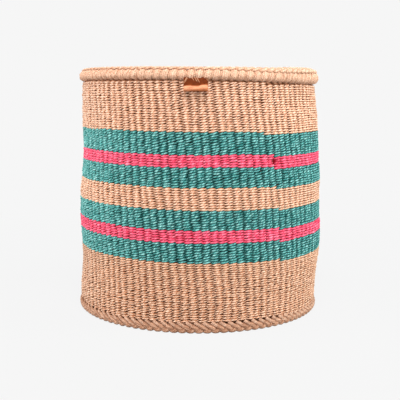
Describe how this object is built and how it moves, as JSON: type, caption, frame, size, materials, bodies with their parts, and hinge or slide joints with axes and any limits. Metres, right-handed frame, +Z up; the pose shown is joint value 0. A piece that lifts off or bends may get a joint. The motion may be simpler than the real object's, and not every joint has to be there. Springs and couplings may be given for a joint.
{
  "type": "kiondo basket",
  "caption": "Round open basket of twined sisal in natural, teal and pink bands, with a rolled rim, a braided foot and a leather loop under the rim.",
  "frame": {"origin": "centre of the flat underside of the foot, on the surface that the basket stands on", "axes": "+Z up along the basket's axis, -Y towards the leather loop at the front"},
  "size_m": [0.2094, 0.2095, 0.2],
  "materials": {
    "natural_sisal": "coarse undyed sisal twine, matt with a slight sheen on the fibres",
    "teal_sisal": "teal dyed sisal twine, heathered light and dark",
    "pink_sisal": "bright pink dyed sisal twine",
    "warp_sisal": "coarse undyed sisal cord",
    "tan_leather": "tan vegetable-tanned leather, satin, darker at the bend and edges",
    "sewing_thread": "fine undyed twine"
  },
  "bodies": {
    "basket": {"base_weave": "natural_sisal", "foot_braid": "natural_sisal", "lower_natural_weft": "natural_sisal", "teal_weft_1": "teal_sisal", "pink_weft_1": "pink_sisal", "teal_weft_2": "teal_sisal", "middle_natural_weft": "natural_sisal", "teal_weft_3": "teal_sisal", "pink_weft_2": "pink_sisal", "teal_weft_4": "teal_sisal", "upper_natural_weft": "natural_sisal", "rim_warp_core": "warp_sisal", "rim_wrap": "natural_sisal", "rim_plait": "natural_sisal", "tab_sewn_end": "tan_leather", "tab_thread": "sewing_thread"},
    "tab": {"tab_loop": "tan_leather"}
  },
  "joints": [
    {"name": "tab_lift", "type": "hinge", "parent": "basket", "child": "tab", "pos_m": [-0.0025, -0.1023, 0.18645], "axis": [-1, 0, 0], "range_deg": [-12, 60]}
  ]
}
